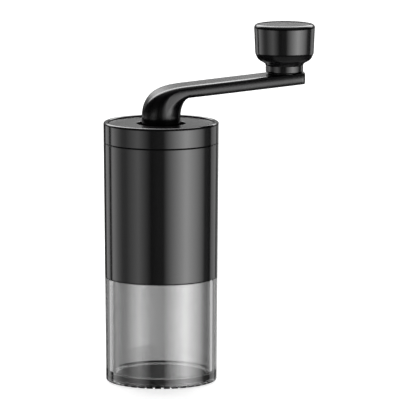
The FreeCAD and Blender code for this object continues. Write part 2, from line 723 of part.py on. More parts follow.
turned("upper_bush", [
    (bush_bore, upper_bracket_low),
    (bush_radius, upper_bracket_low),
    (bush_radius, upper_hub_top),
    (bush_flange_radius, upper_hub_top),
    (bush_flange_radius, upper_bush_top),
    (bush_bore, upper_bush_top),
])
turned("lower_bush", [
    (bush_bore, lower_bush_low),
    (bush_flange_radius, lower_bush_low),
    (bush_flange_radius, lower_hub_low),
    (bush_radius, lower_hub_low),
    (bush_radius, lower_hub_top),
    (bush_bore, lower_hub_top),
])


# ---------------------------------------------------------------- drive shaft

shaft = turned("drive_shaft", [
    ("0", shaft_low),
    ("thread_radius - flange_bevel", shaft_low),
    ("thread_radius", f"{shaft_low} + flange_bevel"),
    ("thread_radius", drive_low),
    ("shaft_radius", drive_low),
    ("shaft_radius", collar_low),
    ("collar_radius - small_bevel", collar_low),
    ("collar_radius", f"{collar_low} + small_bevel"),
    ("collar_radius", f"{collar_top} - small_bevel"),
    ("collar_radius - small_bevel", collar_top),
    ("0", collar_top),
])
for side in ("", "-"):
    past = "(shaft_radius + 1)"
    edges = [(f"-{past}", f"{side}drive_flat"), (past, f"{side}drive_flat"), (past, f"{side}{past}"),
             (f"-{past}", f"{side}{past}")]
    pocket(shaft, edges, drive_top, f"{drive_top} - {drive_low}")
pad(shaft, hexagon("hex_flats"), collar_top, "hex_length")

ring("spring_washer", bush_bore, bush_flange_radius, spring_top, f"{spring_top} + washer_thickness")


def burr_spring():
    """The coil spring that presses the inner burr down onto the dial, from its lowest turn up."""
    wire_radius = size("spring_wire") / 2
    height = size(spring_top) - size(carrier_top) - 2 * wire_radius
    coil_radius = size("shaft_radius + spring_offset")
    helix = Part.makeLongHelix(height / size("spring_turns"), height, coil_radius)
    section = Part.Wire(Part.makeCircle(wire_radius, Vector(coil_radius, 0, 0), Vector(0, 1, 0)))
    return Part.Wire(helix.Edges).makePipeShell([section], True, True)


solid_feature("burr_spring", burr_spring(), f"{carrier_top} + spring_wire / 2")


# ---------------------------------------------------------------- burr carrier, click washer and dial

carrier = turned("burr_carrier", [
    ("0", carrier_low),
    ("carrier_flange_radius - flange_bevel", carrier_low),
    ("carrier_flange_radius", f"{carrier_low} + flange_bevel"),
    ("carrier_flange_radius", inner_burr_low),
    (f"{inner_burr_bore} - press_gap", inner_burr_low),
    (f"{inner_burr_bore} - press_gap", carrier_top),
    ("0", carrier_top),
])
key = pad(carrier, rectangle("shaft_radius + 1", f"{inner_burr_bore} + key_reach", "key_width / 2"),
          inner_burr_low, "key_height")
repeat_round(carrier, key, "3")
drive_hole = double_flat(bush_bore, "(drive_flat + running_gap)")
pocket(carrier, drive_hole, carrier_top, f"{carrier_top} - {carrier_low}")

click = turned("click_washer", [("0", click_low), ("click_radius", click_low),
                                ("click_radius", carrier_low), ("0", carrier_low)])
pocket(click, drive_hole, carrier_low, "washer_thickness")
detent = round_hole(click, "detent_circle", "detent_radius", carrier_low, "washer_thickness")
repeat_round(click, detent, "dial_grips")

dial = turned("adjuster_dial", [
    ("0", dial_low),
    ("dial_radius - dial_bevel", dial_low),
    ("dial_radius", f"{dial_low} + dial_bevel"),
    ("dial_radius", f"{dial_top} - flange_bevel"),
    ("dial_radius - flange_bevel", dial_top),
    ("0", dial_top),
])
grip = round_hole(dial, "(dial_radius + grip_offset)", "grip_radius", dial_top, "dial_height")
repeat_round(dial, grip, "dial_grips")
nut_top = f"({dial_top} - nut_recess)"
nut_low = f"({nut_top} - nut_height)"
pocket(dial, hexagon("(nut_flats + 2 * press_gap)"), dial_top, "nut_recess + nut_height")
round_hole(dial, "0", "(thread_radius + thread_gap)", nut_low, f"{nut_low} - {dial_low}")

nut = new_body("dial_nut")
pad(nut, hexagon("nut_flats"), nut_low, "nut_height")
round_hole(nut, "0", "(thread_radius + running_gap)", nut_top, "nut_height")


# ---------------------------------------------------------------- lid

lid_low = f"({seam} + seam_gap / 2)"
spigot_low = f"({seam} - spigot_height)"
spigot_bore = f"({plug_radius} - spigot_wall)"
disc_top = f"({rim} - disc_drop)"
disc_low = f"({disc_top} - disc_thickness)"
plate_low = f"({disc_low} - lid_plate)"
rim_inside = "(base_radius + rim_flare - rim_width)"
hole_radius = "(hub_radius + hub_clearance)"
lid_seal_level = f"({seam} - spigot_height / 2)"

turned("lid_ring", [
    (f"{hole_radius} + disc_lip", plate_low),
    (spigot_bore, plate_low),
    (spigot_bore, spigot_low),
    (f"{plug_radius} - edge_break", spigot_low),
    (plug_radius, f"{spigot_low} + edge_break"),
    *seal_groove(plug_radius, lid_seal_level),
    (plug_radius, lid_low),
    (f"{outside(lid_low)} - edge_break", lid_low),
    (outside(lid_low), f"{lid_low} + edge_break"),
    (outside(f"({rim} - rim_round)"), f"{rim} - rim_round", "rim_round"),
    (f"{outside(f'({rim} - rim_round)')} - rim_round", rim),
    (f"{rim_inside} + rim_round * 0.7", rim, "rim_round * 0.7"),
    (rim_inside, f"{rim} - rim_round * 0.7"),
    (rim_inside, disc_low),
    (f"{hole_radius} + disc_lip", disc_low),
])
turned("lid_disc", [
    (hole_radius, disc_low),
    (f"{rim_inside} - press_gap", disc_low),
    (f"{rim_inside} - press_gap", f"{disc_top} - edge_break"),
    (f"{rim_inside} - press_gap - edge_break", disc_top),
    (f"{hole_radius} + edge_break", disc_top),
    (hole_radius, f"{disc_top} - edge_break"),
])
seal("lid_seal", plug_radius, lid_seal_level)


# ---------------------------------------------------------------- crank arm

def straight_top(distance):
    """Level of the arm's upper face at a distance from the shaft."""
    return size(rim) + size("bend_top") + (distance - size("bend_reach")) * size("arm_slope")


def rounded_section(top, bottom, width, corner):
    """A rounded rectangle that stands across the arm between its upper and lower guide points."""
    up = (top - bottom).normalize()
    across = Vector(0, 1, 0)
    half_width = width / 2
    half_height = (top - bottom).Length / 2
    middle = (top + bottom) * 0.5
    corner = min(corner, half_width * 0.99, half_height * 0.99)

    def place(side, rise):
        return middle + across * side + up * rise

    edges = []
    turns = [(1, 1), (-1, 1), (-1, -1), (1, -1)]
    for index, (side, rise) in enumerate(turns):
        # the corner's centre, then an arc round it, then the straight stretch to the next corner
        centre = (side * (half_width - corner), rise * (half_height - corner))
        start_angle = 90 * index
        arc = []
        for angle in (start_angle, start_angle + 45, start_angle + 90):
            turn = math.radians(angle)
            arc.append(place(centre[0] + corner * math.cos(turn), centre[1] + corner * math.sin(turn)))
        edges.append(Part.Arc(*arc).toShape())
        next_side, next_rise = turns[(index + 1) % 4]
        turn = math.radians(start_angle + 90)
        onward = place(next_side * (half_width - corner) + corner * math.cos(turn),
                       next_rise * (half_height - corner) + corner * math.sin(turn))
        edges.append(Part.LineSegment(arc[2], onward).toShape())
    return Part.Wire(edges)


def bezier(points, share):
    """A point of a cubic curve."""
    weights = [(1 - share) ** 3, 3 * share * (1 - share) ** 2, 3 * share ** 2 * (1 - share), share ** 3]
    return sum((point * weight for point, weight in zip(points, weights)), Vector(0, 0, 0))


def crank_bend():
    """The stretch where the round hub turns over and flattens into the arm."""
    hub = size("hub_radius")
    low = size(rim) + size("bend_rise")
    reach = size("bend_reach")
    slope = Vector(1, 0, size("arm_slope"))
    thickness = size("arm_thickness")
    end_top = Vector(reach, 0, straight_top(reach))
    end_bottom = Vector(reach + thickness * slope.z, 0, end_top.z - thickness)
    outer = [Vector(-hub, 0, low), Vector(-hub, 0, low + size("outer_rise")),
             end_top - slope * size("outer_run"), end_top]
    inner = [Vector(hub, 0, low), Vector(hub, 0, low + size("inner_rise")),
             end_bottom - slope * size("inner_run"), end_bottom]
    sections = []
    stations = 8
    for step in range(stations + 1):
        share = step / stations
        ease = share * share * (3 - 2 * share)
        width = 2 * hub + (size("arm_width") - 2 * hub) * ease
        squareness = math.sin(math.pi / 2 * share) ** size("bend_squaring")
        corner = hub + (size("arm_edge") - hub) * squareness
        sections.append(rounded_section(bezier(outer, share), bezier(inner, share), width, corner))
    return sections


def crank_arm():
    """Hub, bend and arm in one, with the insert's bore, the knob's seat and the axle's hole."""
    sections = crank_bend()
    bend = Part.makeLoft(sections, True, False)
    foot = size(crank_low)
    hub = Part.Face(sections[0]).extrude(Vector(0, 0, foot - size(rim) - size("bend_rise")))
    tip = size("crank_radius + arm_overhang")
    past_tip = tip - size("bend_reach") + size("arm_thickness")
    arm = Part.Face(sections[-1]).extrude(Vector(1, 0, size("arm_slope")) * past_tip)
    # the arm's square end, seen from above: a block with its two far upright edges rounded
    width = size("arm_width") + 0.02
    plan_height = size("bend_top") + tip * size("arm_slope") + size("arm_thickness")
    plan = Part.makeBox(tip, width, plan_height, Vector(0, -width / 2, size(rim)))
    ends = [edge for edge in plan.Edges
            if all(abs(vertex.X - tip) < 1e-6 for vertex in edge.Vertexes)
            and abs(edge.Vertexes[0].Z - edge.Vertexes[1].Z) > 1]
    arm = arm.common(plan.makeFillet(size("arm_corner"), ends))
    whole = hub.multiFuse([bend, arm]).removeSplitter()
    bore = Part.makeCylinder(size(f"{insert_radius} + press_gap"), size(insert_top) - foot,
                             Vector(0, 0, foot))
    tip_room = Part.makeCylinder(size("hex_flats / sqrt(3) + small_bevel"),
                                 size(f"{hex_top} + hex_tip") - foot, Vector(0, 0, foot))
    knob_x = size("crank_radius")
    seat_level = size(knob_seat)
    seat = Part.makeCylinder(size("neck_radius + spot_gap"), size("arm_thickness"),
                             Vector(knob_x, 0, seat_level))
    hole = Part.makeCylinder(size("thread_radius + press_gap"), size("2 * arm_thickness"),
                             Vector(knob_x, 0, seat_level - size("2 * arm_thickness")))
    return whole.cut([bore, tip_room, seat, hole])


solid_feature("crank_arm", crank_arm())

insert = turned("hub_insert", [
    ("0", crank_low),
    (insert_radius, crank_low),
    (insert_radius, insert_top),
    ("0", insert_top),
])
pocket(insert, hexagon("(hex_flats + 2 * running_gap)"), insert_top, f"{insert_top} - {crank_low}")


# ---------------------------------------------------------------- knob, its axle, washer and screw

knob_low = f"({knob_seat} + washer_thickness / 2 + face_gap)"
knob_top = f"({knob_low} + knob_height)"
knob_bush_top = f"({knob_low} + bush_length)"
axle_top = f"({knob_bush_top} + face_gap)"
knob_bush_radius = "(axle_radius + running_gap + bush_wall)"
axle_end = f"({knob_seat} - arm_thickness + axle_floor)"
head_top = f"({axle_top} + axle_screw_head_height)"


def at_knob(thing):
    """Move a sub-part that is drawn about Z to the knob's axis."""
    bind(thing, ".Placement.Base.x", "crank_radius")
    doc.recompute()
    return thing


at_knob(turned("knob_axle", [
    ("0", axle_end),
    ("thread_radius", axle_end),
    ("thread_radius", knob_seat),
    ("axle_radius", knob_seat),
    ("axle_radius", axle_top),
    ("axle_bore", axle_top),
    ("axle_bore", f"{axle_top} - axle_bore_depth"),
    ("0", f"{axle_top} - axle_bore_depth"),
]))
at_knob(ring("knob_washer", "axle_radius + press_gap", "neck_radius - bush_wall", knob_seat,
             f"{knob_seat} + washer_thickness / 2"))
axle_screw = at_knob(turned("axle_screw", [
    ("0", f"{axle_top} - axle_bore_depth + flange_bevel"),
    ("axle_bore - press_gap", f"{axle_top} - axle_bore_depth + flange_bevel"),
    ("axle_bore - press_gap", axle_top),
    ("axle_screw_head", axle_top),
    ("axle_screw_head", f"{head_top} - small_bevel"),
    ("axle_screw_head - small_bevel", head_top),
    ("0", head_top),
]))
pocket(axle_screw, hexagon("axle_screw_socket"), head_top, "axle_socket_depth")

shoulder_low = f"({knob_low} + neck_length)"
waist_level = f"({shoulder_low} + knob_shoulder)"
cap_low = f"({knob_top} - cap_drop - cap_thickness)"
screw_room = "(axle_screw_head + axle_head_room)"
at_knob(turned("knob_body", [
    (f"{knob_bush_radius} + press_gap", knob_low),
    ("neck_radius - neck_bevel", knob_low),
    ("neck_radius", f"{knob_low} + 2 * neck_bevel"),
    ("neck_radius", shoulder_low, "-neck_blend"),
    ("neck_radius + shoulder_step", f"{shoulder_low} + shoulder_foot"),
    ("knob_waist - shoulder_inset", f"{shoulder_low} + shoulder_rise", "shoulder_round"),
    ("knob_waist", waist_level),
    ("knob_radius", f"{knob_top} - knob_round", "knob_round"),
    ("knob_radius - knob_round", knob_top),
    ("cap_radius", knob_top),
    ("cap_radius", cap_low),
    (screw_room, cap_low),
    (screw_room, knob_bush_top),
    (f"{knob_bush_radius} + press_gap", knob_bush_top),
]))
at_knob(ring("knob_bush", "axle_radius + running_gap", knob_bush_radius, knob_low, knob_bush_top))
at_knob(turned("knob_cap", [
    ("0", cap_low),
    ("cap_radius - press_gap", cap_low),
    ("cap_radius - press_gap", f"{cap_low} + cap_thickness - small_bevel"),
    ("cap_radius - press_gap - small_bevel", f"{cap_low} + cap_thickness"),
    ("0", f"{cap_low} + cap_thickness"),
]))


# ---------------------------------------------------------------- check every piece and write it

doc.recompute()
for item in doc.Objects:
    if "Invalid" in item.State or "Error" in item.State:
        raise ValueError(f"{item.Label} did not compute: {item.State}")
for piece in subparts:
    if piece.Shape.isNull() or not piece.Shape.isValid() or not piece.Shape.Solids:
        raise ValueError(f"{piece.Label} has no valid solid")

os.makedirs("parts", exist_ok=True)
for piece in subparts:
    piece.Shape.exportStep(f"parts/{piece.Label}.step")
    print(f"{piece.Label:18s} solids {len(piece.Shape.Solids)} volume {piece.Shape.Volume:10.1f}")
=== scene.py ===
"""Looks of the hand crank coffee grinder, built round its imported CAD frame.

Blender lengths are metres.  The outlines below are written in millimetres and scaled by MM when
their meshes are made.  +Z is up, the grinder's axis is Z and the crank's arm lies along +X.
"""

import json
import math

import bmesh
import bpy
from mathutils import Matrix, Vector


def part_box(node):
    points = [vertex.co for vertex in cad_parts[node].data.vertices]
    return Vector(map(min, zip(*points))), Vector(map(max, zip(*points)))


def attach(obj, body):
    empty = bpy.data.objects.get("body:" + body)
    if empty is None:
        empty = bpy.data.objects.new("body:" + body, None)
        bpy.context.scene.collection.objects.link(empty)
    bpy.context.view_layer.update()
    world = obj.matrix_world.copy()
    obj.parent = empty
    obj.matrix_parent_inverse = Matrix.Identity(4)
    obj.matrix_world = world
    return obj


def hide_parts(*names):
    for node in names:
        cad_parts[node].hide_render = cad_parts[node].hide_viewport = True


MM = 0.001

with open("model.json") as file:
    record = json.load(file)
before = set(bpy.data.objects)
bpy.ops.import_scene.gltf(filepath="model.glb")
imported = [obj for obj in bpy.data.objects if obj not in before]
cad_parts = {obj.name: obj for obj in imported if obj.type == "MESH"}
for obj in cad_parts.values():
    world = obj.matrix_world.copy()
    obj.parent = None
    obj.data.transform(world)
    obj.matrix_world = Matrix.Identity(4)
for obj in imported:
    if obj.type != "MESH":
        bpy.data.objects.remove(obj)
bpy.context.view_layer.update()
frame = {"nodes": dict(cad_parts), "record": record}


# ---------------------------------------------------------------- sizes, in millimetres

def low(node):
    """Lowest level of a CAD node."""
    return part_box(node)[0].z / MM


def high(node):
    """Highest level of a CAD node."""
    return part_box(node)[1].z / MM


BASE_RADIUS = 27.5
RIM_RADIUS = 28.5
RIM_LEVEL = high("lid_ring")
PRESS_GAP = 0.05
SLIDE_GAP = 0.15
SEAM_GAP = 0.3
CUP_SHELL_GAP = 0.15
CUP_HEIGHT = low("housing_shell") - CUP_SHELL_GAP
CUP_NECK_TOP = high("container")


def outside(level):
    """Outer radius of the tapered grinder at a level."""
    return BASE_RADIUS + (RIM_RADIUS - BASE_RADIUS) * level / RIM_LEVEL


SHELL_WALL = 1.7
CUP_WALL = 3.2
SHELL_BORE = outside(CUP_HEIGHT) - SHELL_WALL
PLUG_RADIUS = SHELL_BORE - SLIDE_GAP
CUP_BORE = BASE_RADIUS - CUP_WALL
PAD_RADIUS = 22.4

HUB_RADIUS = 9.6
CRANK_RADIUS = (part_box("knob_cap")[0].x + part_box("knob_cap")[1].x) / 2 / MM
NECK_RADIUS = 9.35


# ---------------------------------------------------------------- mesh helpers

TINY = 1e-6
SHARP_ANGLE = math.radians(32)
# The most of a straight stretch that the arcs at its two ends may take up.
ARC_SHARE = 0.97
# How far past the piece a cutter reaches.
CUT_PAST = 1.0
# Steps round the turned pieces of the outside.
OUTSIDE_SEGMENTS = 240


def rounded(corners, steps=5):
    """Points of a closed outline whose (radius, level, rounding) corners are eased by arcs."""
    points = []
    for index, (radius, level, rounding) in enumerate(corners):
        here = Vector((radius, level))
        back = Vector(corners[index - 1][:2]) - here
        onward = Vector(corners[(index + 1) % len(corners)][:2]) - here
        if rounding == 0 or back.length < TINY or onward.length < TINY:
            points.append(here)
            continue
        half = back.angle(onward) / 2
        before = corners[index - 1][2]
        after = corners[(index + 1) % len(corners)][2]
        reach = min(rounding / math.tan(half),
                    ARC_SHARE * back.length * rounding / (rounding + before),
                    ARC_SHARE * onward.length * rounding / (rounding + after))
        radius_used = reach * math.tan(half)
        bisector = (back.normalized() + onward.normalized()).normalized()
        centre = here + bisector * (radius_used / math.sin(half))
        first = here + back.normalized() * reach - centre
        last = here + onward.normalized() * reach - centre
        sweep = first.angle_signed(last)
        for step in range(steps + 1):
            turn = -sweep * step / steps
            points.append(centre + Vector((first.x * math.cos(turn) - first.y * math.sin(turn),
                                           first.x * math.sin(turn) + first.y * math.cos(turn))))
    return points


def supported(points, margin=0.25):
    """The same closed outline with a point near each end of its longer straight stretches."""
    result = []
    for index, here in enumerate(points):
        onward = points[(index + 1) % len(points)]
        result.append(here)
        length = (onward - here).length
        if length > 4 * margin:
            result.append(here.lerp(onward, margin / length))
            result.append(here.lerp(onward, 1 - margin / length))
    return result


def finished(name, bm):
    """An object made from the mesh in hand, with smooth faces that break at real edges."""
    bmesh.ops.remove_doubles(bm, verts=bm.verts, dist=1e-7)
    bmesh.ops.recalc_face_normals(bm, faces=bm.faces)
    mesh = bpy.data.meshes.new(name)
    bm.to_mesh(mesh)
    bm.free()
    piece = bpy.data.objects.new(name, mesh)
    bpy.context.scene.collection.objects.link(piece)
    smooth(mesh)
    return piece


def smooth(mesh):
    """Smooth shading everywhere but at real edges."""
    mesh.polygons.foreach_set("use_smooth", [True] * len(mesh.polygons))
    mesh.set_sharp_from_angle(angle=SHARP_ANGLE)


def turned(name, corners, segments=160, centre_x=0.0, steps=5):
    """A piece turned about an upright axis from a closed outline."""
    points = supported(rounded(corners, steps))
    bm = bmesh.new()
    rings = []
    for radius, level in points:
        if radius < TINY:
            rings.append([bm.verts.new((centre_x * MM, 0, level * MM))])
            continue
        ring = []
        for step in range(segments):
            turn = 2 * math.pi * step / segments
            ring.append(bm.verts.new(((centre_x + radius * math.cos(turn)) * MM,
                                      radius * math.sin(turn) * MM, level * MM)))
        rings.append(ring)
    for index, here in enumerate(rings):
        onward = rings[(index + 1) % len(rings)]
        if len(here) == 1 and len(onward) == 1:
            continue
        for step in range(segments):
            following = (step + 1) % segments
            corners_round = [here[step % len(here)], here[following % len(here)],
                             onward[following % len(onward)], onward[step % len(onward)]]
            bm.faces.new(list(dict.fromkeys(corners_round)))
    return finished(name, bm)


def cut(piece, cutter):
    """Take the cutter's space out of the piece, and drop the cutter."""
    modifier = piece.modifiers.new("cut", "BOOLEAN")
    modifier.operation = "DIFFERENCE"
    modifier.solver = "EXACT"
    modifier.object = cutter
    bpy.context.view_layer.update()
    depsgraph = bpy.context.evaluated_depsgraph_get()
    mesh = bpy.data.meshes.new_from_object(piece.evaluated_get(depsgraph))
    piece.modifiers.remove(modifier)
    old = piece.data
    piece.data = mesh
    bpy.data.meshes.remove(old)
    bpy.data.objects.remove(cutter)
    smooth(mesh)


def box_ring(name, count, inner, outer, half_width, bottom, top, first_turn):
    """Blocks laid out evenly round Z, as one object."""
    bm = bmesh.new()
    for step in range(count):
        turn = first_turn + 2 * math.pi * step / count
        along = Vector((math.cos(turn), math.sin(turn), 0))
        across = Vector((-math.sin(turn), math.cos(turn), 0))
        levels = []
        for level in (bottom, top):
            corners = [along * inner - across * half_width, along * outer - across * half_width,
                       along * outer + across * half_width, along * inner + across * half_width]
            levels.append([bm.verts.new((corner + Vector((0, 0, level))) * MM) for corner in corners])
        below, above = levels
        bm.faces.new(below[::-1])
        bm.faces.new(above)
        for index in range(4):
            following = (index + 1) % 4
            bm.faces.new([below[index], below[following], above[following], above[index]])
    return finished(name, bm)


# ---------------------------------------------------------------- material helpers

def material(name):
    """A new node material: its tree, its principled shader and its object coordinates."""
    made = bpy.data.materials.new(name)
    made.use_nodes = True
    tree = made.node_tree
    shader = next(node for node in tree.nodes if node.type == "BSDF_PRINCIPLED")
    place = tree.nodes.new("ShaderNodeTexCoord").outputs["Object"]
    return made, tree, shader, place


def noise(tree, place, scale, detail=3.0, stretch=(1, 1, 1)):
    """A noise texture of the given grain, in metres, that may be stretched along an axis."""
    mapping = tree.nodes.new("ShaderNodeMapping")
    mapping.inputs["Scale"].default_value = stretch
    tree.links.new(place, mapping.inputs["Vector"])
    texture = tree.nodes.new("ShaderNodeTexNoise")
    texture.inputs["Scale"].default_value = scale
    texture.inputs["Detail"].default_value = detail
    tree.links.new(mapping.outputs["Vector"], texture.inputs["Vector"])
    return texture.outputs["Fac"]


# The range that most of a noise texture's values fall in.
NOISE_LOW, NOISE_HIGH = 0.3, 0.7


def spread(tree, source, lowest, highest):
    """The source's middle range spread between two values."""
    node = tree.nodes.new("ShaderNodeMapRange")
    node.inputs["From Min"].default_value = NOISE_LOW
    node.inputs["From Max"].default_value = NOISE_HIGH
    node.inputs["To Min"].default_value = lowest
    node.inputs["To Max"].default_value = highest
    tree.links.new(source, node.inputs["Value"])
    return node.outputs["Result"]


def blend_colours(tree, source, first, second):
    """The source's middle range as a blend from one colour to the other."""
    ramp = tree.nodes.new("ShaderNodeValToRGB")
    ramp.color_ramp.elements[0].position = NOISE_LOW
    ramp.color_ramp.elements[0].color = (*first, 1)
    ramp.color_ramp.elements[1].position = NOISE_HIGH
    ramp.color_ramp.elements[1].color = (*second, 1)
    tree.links.new(source, ramp.inputs["Fac"])
    return ramp.outputs["Color"]


def bump(tree, shader, source, distance):
    """Bumps as high as the given distance, in metres."""
    node = tree.nodes.new("ShaderNodeBump")
    node.inputs["Distance"].default_value = distance
    node.inputs["Strength"].default_value = 1.0
    tree.links.new(source, node.inputs["Height"])
    tree.links.new(node.outputs["Normal"], shader.inputs["Normal"])


# Grain of the slow changes in gloss and colour, and how far gloss goes either way.
SOFT_GRAIN = 45
GLOSS_VARIATION = 0.07
# Turning marks run round a metal piece: the grain is packed this much closer along its axis.
TURNED_STRETCH = (1, 1, 90)


def moulded(name, colour, roughness, grain=4000, depth=1.5e-6, specular=0.5, metallic=0.0,
            stretch=(1, 1, 1), variation=0.12, ior=1.5):
    """A surface with fine grain, slightly uneven gloss and slightly uneven colour."""
    made, tree, shader, place = material(name)
    soft = noise(tree, place, SOFT_GRAIN, 4)
    fine = noise(tree, place, grain, 2, stretch)
    dark = tuple(part * (1 - variation) for part in colour)
    light = tuple(min(part * (1 + variation), 1.0) for part in colour)
    tree.links.new(blend_colours(tree, soft, dark, light), shader.inputs["Base Color"])
    gloss = spread(tree, soft, roughness * (1 - GLOSS_VARIATION), roughness * (1 + GLOSS_VARIATION))
    tree.links.new(gloss, shader.inputs["Roughness"])
    bump(tree, shader, fine, depth)
    shader.inputs["Specular IOR Level"].default_value = specular
    shader.inputs["Metallic"].default_value = metallic
    shader.inputs["IOR"].default_value = ior
    return made


def clear_plastic():
    """Polished, lightly smoked plastic, with the faint unevenness of a moulding."""
    made, tree, shader, place = material("smoke_clear_plastic")
    soft = noise(tree, place, 60, 2)
    tree.links.new(blend_colours(tree, soft, (0.50, 0.50, 0.50), (0.53, 0.53, 0.53)),
                   shader.inputs["Base Color"])
    tree.links.new(spread(tree, soft, 0.012, 0.03), shader.inputs["Roughness"])
    bump(tree, shader, noise(tree, place, 120, 1), 4e-6)
    shader.inputs["Transmission Weight"].default_value = 1.0
    shader.inputs["IOR"].default_value = 1.52
    return made


MATERIALS = {
    "satin_black": moulded("satin_black_plastic", (0.0045, 0.0045, 0.0048), 0.12, depth=6e-7,
                           specular=0.4),
    "disc_black": moulded("disc_black_plastic", (0.012, 0.012, 0.012), 0.2, grain=2500,
                          depth=1.5e-6, specular=0.4, ior=1.36),
    "crank_black": moulded("crank_black_coating", (0.004, 0.004, 0.0043), 0.2, depth=1e-6,
                           specular=0.4),
    "knob_black": moulded("knob_black_plastic", (0.0045, 0.0045, 0.0048), 0.14, depth=6e-7,
                          specular=0.4),
    "cap_black": moulded("cap_black_plastic", (0.02, 0.02, 0.02), 0.27, grain=2500, depth=3e-6,
                         specular=0.4, ior=1.33),
    "washer_black": moulded("washer_black_plastic", (0.01, 0.01, 0.01), 0.4),
    "smoke_clear": clear_plastic(),
    "black_rubber": moulded("foot_rubber", (0.012, 0.012, 0.012), 0.7, grain=1800, depth=1.2e-5,
                            specular=0.3),
    "grey_silicone": moulded("seal_silicone", (0.25, 0.25, 0.26), 0.5, grain=1500, depth=4e-6),
    "inner_black": moulded("inner_black_plastic", (0.02, 0.02, 0.021), 0.5, grain=1800, depth=8e-6),
    "dial_black": moulded("dial_black_plastic", (0.02, 0.02, 0.02), 0.42, grain=2000, depth=6e-6),
    "bearing_plastic": moulded("bearing_acetal", (0.72, 0.70, 0.65), 0.35, grain=2500, depth=3e-6),
    "white_ceramic": moulded("burr_ceramic", (0.82, 0.81, 0.78), 0.38, grain=3000, depth=6e-6,
                             variation=0.05),
    "steel": moulded("turned_steel", (0.60, 0.60, 0.61), 0.28, grain=60, depth=6e-6, metallic=1.0,
                     stretch=TURNED_STRETCH, variation=0.08),
    "brass": moulded("turned_brass", (0.72, 0.53, 0.25), 0.3, grain=60, depth=6e-6, metallic=1.0,
                     stretch=TURNED_STRETCH, variation=0.1),
}


def dress_cad_nodes():
    """Give every CAD node the material of its slot."""
    for part in frame["record"]["subparts"]:
        node = frame["nodes"][part["node"]]
        for slot in node.material_slots:
            slot.material = MATERIALS[part["material_slot"]]


def place_piece(piece, node, body):
    """Put a finished piece in the place of a CAD node, with that node's material."""
    slot = next(part["material_slot"] for part in frame["record"]["subparts"] if part["node"] == node)
    piece.data.materials.clear()
    piece.data.materials.append(MATERIALS[slot])
    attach(piece, body)
    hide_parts(node)


# ---------------------------------------------------------------- clear cup and its pad

CUP_FLOOR = 4.0
CUP_FLOOR_ROUNDING = 1.6
FOOT_ROUNDING = 0.95
FOOT_NOTCHES = 40
NOTCH_INSET = 0.9
NOTCH_HALF_WIDTH = 0.6
NOTCH_TOP = 1.1
PAD_GAP = 0.1
BOND_DEPTH = 0.03
PAD_GROOVE = (8.0, 21.0)
PAD_GROOVE_SLOPE = 0.6
PAD_GROOVE_DEPTH = 0.35
SEAL_GAP = 0.1
SEAL_THICKNESS = 1.0
SEAL_GROOVE_HALF = 0.6


def seal_groove(radius, level):
    """Corners of a sealing ring's groove, going up."""
    floor = radius + SLIDE_GAP - SEAL_GAP - SEAL_THICKNESS
    below = level - SEAL_GROOVE_HALF
    above = level + SEAL_GROOVE_HALF
    return [(radius, below, 0.1), (floor, below, 0), (floor, above, 0), (radius, above, 0.1)]


def clear_cup():
    """The cup with its neck, seal groove, pad recess and a ring of notches at the foot."""
    recess = PAD_RADIUS + PAD_GAP
    pad_top = high("base_pad")
    seal_level = (low("container_seal") + high("container_seal")) / 2
    cup = turned("clear_cup", [
        (0, pad_top, 0),
        (recess, pad_top, 0.15),
        (recess, 0, 0.2),
        (outside(0), 0, FOOT_ROUNDING),
        (outside(CUP_HEIGHT), CUP_HEIGHT, 0.15),
        (PLUG_RADIUS, CUP_HEIGHT, 0.1),
        *seal_groove(PLUG_RADIUS, seal_level),
        (PLUG_RADIUS, CUP_NECK_TOP, 0.3),
        (CUP_BORE, CUP_NECK_TOP, 0.3),
        (CUP_BORE, CUP_FLOOR, CUP_FLOOR_ROUNDING),
        (0, CUP_FLOOR, 0),
    ], segments=OUTSIDE_SEGMENTS, steps=7)
    notches = box_ring("notches", FOOT_NOTCHES, recess + NOTCH_INSET, BASE_RADIUS + CUT_PAST,
                       NOTCH_HALF_WIDTH, -CUT_PAST, NOTCH_TOP, math.pi / FOOT_NOTCHES)
    cut(cup, notches)
    place_piece(cup, "container", "base")


def foot_pad():
    """The rubber pad, bonded a hair's breadth into the cup so that no air shows between them."""
    pad_top = high("base_pad") + BOND_DEPTH
    groove_inside, groove_outside = PAD_GROOVE
    pad = turned("foot_pad", [
        (0, 0, 0),
        (groove_inside, 0, 0),
        (groove_inside + PAD_GROOVE_SLOPE, PAD_GROOVE_DEPTH, 0.3),
        (groove_outside - PAD_GROOVE_SLOPE, PAD_GROOVE_DEPTH, 0.3),
        (groove_outside, 0, 0.3),
        (PAD_RADIUS, 0, 0.4),
        (PAD_RADIUS, pad_top, 0.2),
        (0, pad_top, 0),
    ])
    place_piece(pad, "base_pad", "base")


# ---------------------------------------------------------------- housing shell and lid

LID_RIM_WIDTH = 2.4
LID_PLATE = 2.0
SPIGOT_WALL = 1.8
HUB_CLEARANCE = 2.5
DISC_LAP = 0.5


def shell():
    """The tapered black housing."""
    bottom = low("housing_shell")
    top = high("housing_shell")
    piece = turned("shell", [
        (SHELL_BORE, bottom, 0.25),
        (outside(bottom), bottom, 0.25),
        (outside(top), top, 0.2),
        (SHELL_BORE, top, 0.2),
    ], segments=OUTSIDE_SEGMENTS)
    place_piece(piece, "housing_shell", "housing")


